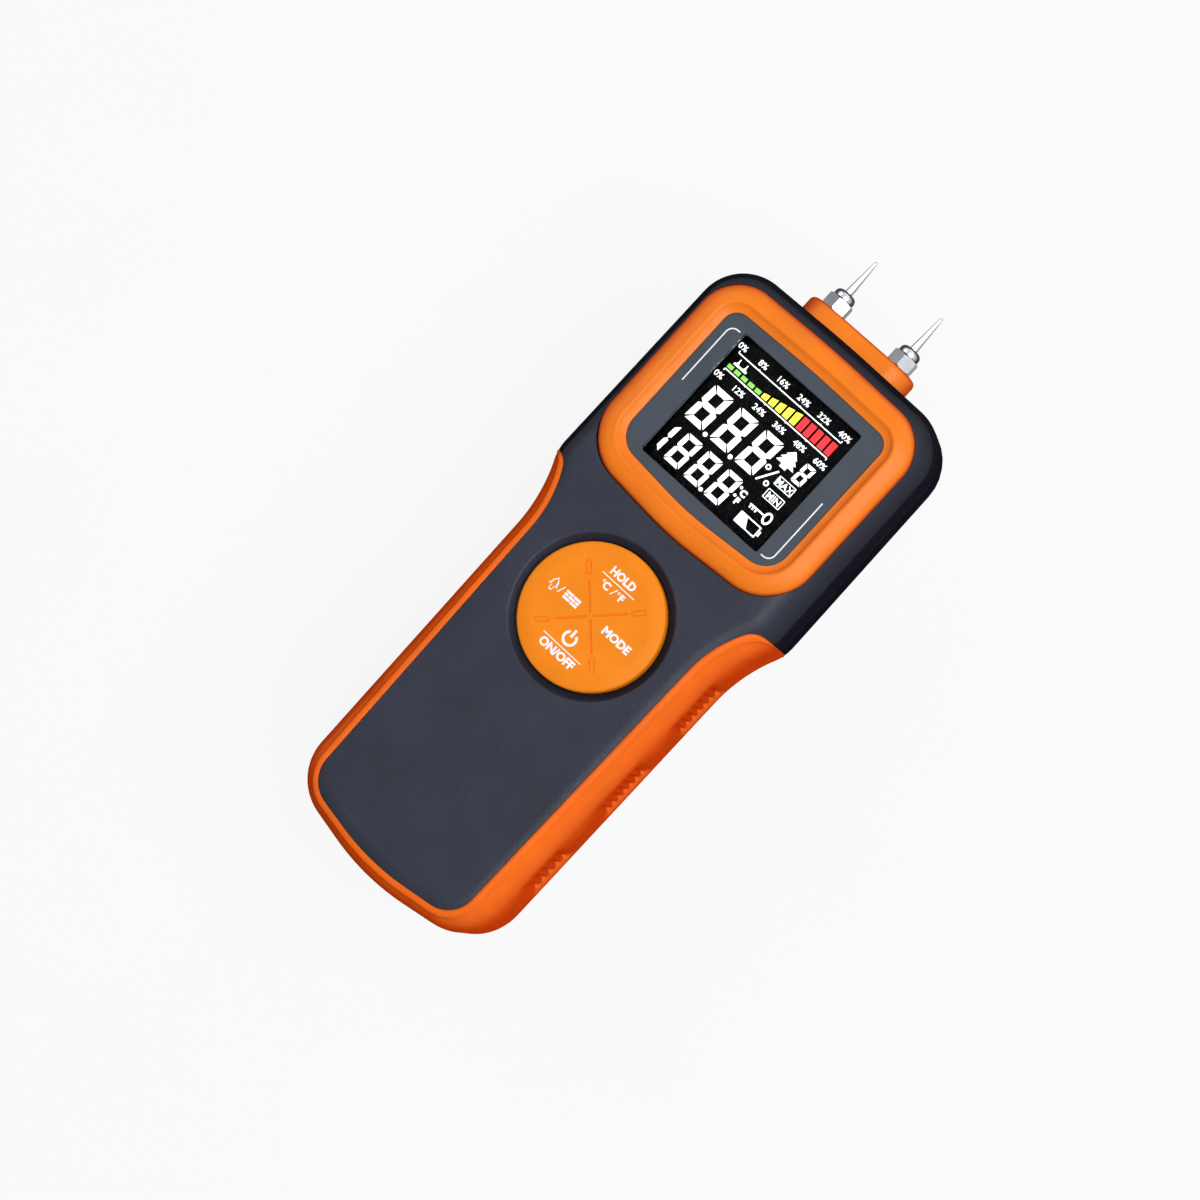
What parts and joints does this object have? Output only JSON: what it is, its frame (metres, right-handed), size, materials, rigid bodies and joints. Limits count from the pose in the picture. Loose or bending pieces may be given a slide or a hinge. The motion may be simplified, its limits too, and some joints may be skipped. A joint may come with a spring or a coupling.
{
  "type": "handheld pin moisture meter",
  "caption": "Handheld moisture meter with colour display, round rocking key pad, soft grip sleeve and screwed pin electrodes on an end boss.",
  "frame": {"origin": "middle of the footprint on the surface that the meter's back lies on", "axes": "+X to the right seen from the front, +Y along the meter towards the needle tips, +Z out of the display"},
  "size_m": [0.0686, 0.1806, 0.0325],
  "materials": {
    "slate_plastic": "fine textured moulding, satin",
    "soft_orange": "soft-touch elastomer, satin",
    "orange_plastic": "smooth moulding, satin",
    "clear_lens": "clear, polished",
    "black_print": "printed film",
    "display_glass": "polished display glass",
    "white_plastic": "satin",
    "zebra_rubber": "striped elastomer",
    "circuit_board": "solder mask, semi-gloss",
    "black_plastic": "satin",
    "sheet_steel": "nickel plated, brushed",
    "chrome": "bright plating",
    "brass": "turned",
    "cell_jacket": "printed foil jacket, plain",
    "red_wire": "PVC insulation",
    "black_wire": "PVC insulation",
    "label_film": "blank metallised film"
  },
  "bodies": {
    "case": {"front_shell": "slate_plastic", "back_shell": "slate_plastic", "grip_sleeve": "soft_orange", "display_bezel": "orange_plastic", "display_lens": "clear_lens", "lens_mask": "black_print", "lcd_panel": "display_glass", "lcd_holder": "white_plastic", "backlight": "white_plastic", "lcd_connectors": "zebra_rubber", "main_pcb": "circuit_board", "pcb_components": "black_plastic", "buzzer": "black_plastic", "switch_bodies": "sheet_steel", "electrode_head": "orange_plastic", "electrode_sockets": "brass", "electrode_tabs": "brass", "battery_1": "cell_jacket", "battery_2": "cell_jacket", "battery_3": "cell_jacket", "battery_springs": "sheet_steel", "battery_plates": "sheet_steel", "battery_lead_red": "red_wire", "battery_lead_black": "black_wire", "case_screws": "sheet_steel", "pcb_screws": "sheet_steel", "blank_label": "label_film"},
    "pad_ring": {"pad_gimbal": "sheet_steel"},
    "key_pad": {"pad_cap": "orange_plastic"},
    "switch_top": {"plunger_top": "black_plastic"},
    "switch_right": {"plunger_right": "black_plastic"},
    "switch_bottom": {"plunger_bottom": "black_plastic"},
    "switch_left": {"plunger_left": "black_plastic"},
    "left_electrode": {"left_needle": "chrome"},
    "left_clamp": {"left_nut": "chrome"},
    "right_electrode": {"right_needle": "chrome"},
    "right_clamp": {"right_nut": "chrome"},
    "battery_cover": {"battery_door": "slate_plastic"}
  },
  "joints": [
    {"name": "pad_tilt_up_down", "type": "hinge", "parent": "case", "child": "pad_ring", "pos_m": [0, -0.0125, 0.026], "axis": [1, 0, 0], "range_deg": [-2, 2], "stiffness_Nm_per_rad": 0.34},
    {"name": "pad_tilt_left_right", "type": "hinge", "parent": "pad_ring", "child": "key_pad", "pos_m": [0, -0.0125, 0.026], "axis": [0, 1, 0], "range_deg": [-2, 2], "stiffness_Nm_per_rad": 0.34},
    {"name": "press_top", "type": "slide", "parent": "case", "child": "switch_top", "axis": [0, 0, -1], "range_m": [0, 0.00025], "stiffness_N_per_m": 6400},
    {"name": "press_right", "type": "slide", "parent": "case", "child": "switch_right", "axis": [0, 0, -1], "range_m": [0, 0.00025], "stiffness_N_per_m": 6400},
    {"name": "press_bottom", "type": "slide", "parent": "case", "child": "switch_bottom", "axis": [0, 0, -1], "range_m": [0, 0.00025], "stiffness_N_per_m": 6400},
    {"name": "press_left", "type": "slide", "parent": "case", "child": "switch_left", "axis": [0, 0, -1], "range_m": [0, 0.00025], "stiffness_N_per_m": 6400},
    {"name": "left_needle_out", "type": "slide", "parent": "case", "child": "left_electrode", "axis": [0, 1, 0], "range_m": [0, 0.0021]},
    {"name": "left_nut_turn", "type": "hinge", "parent": "left_electrode", "child": "left_clamp", "pos_m": [-0.01, 0.0752, 0.0155], "axis": [0, 1, 0], "range_deg": [0, 1080]},
    {"name": "right_needle_out", "type": "slide", "parent": "case", "child": "right_electrode", "axis": [0, 1, 0], "range_m": [0, 0.0021]},
    {"name": "right_nut_turn", "type": "hinge", "parent": "right_electrode", "child": "right_clamp", "pos_m": [0.01, 0.0752, 0.0155], "axis": [0, 1, 0], "range_deg": [0, 1080]},
    {"name": "battery_door_hinge", "type": "hinge", "parent": "case", "child": "battery_cover", "pos_m": [0, -0.07365, 0.00115], "axis": [-1, 0, 0], "range_deg": [0, 40]}
  ],
  "couplings": [
    {"joint": "left_nut_turn", "follows": "left_needle_out", "rad_per_m": 8975.9},
    {"joint": "right_nut_turn", "follows": "right_needle_out", "rad_per_m": 8975.9}
  ]
}
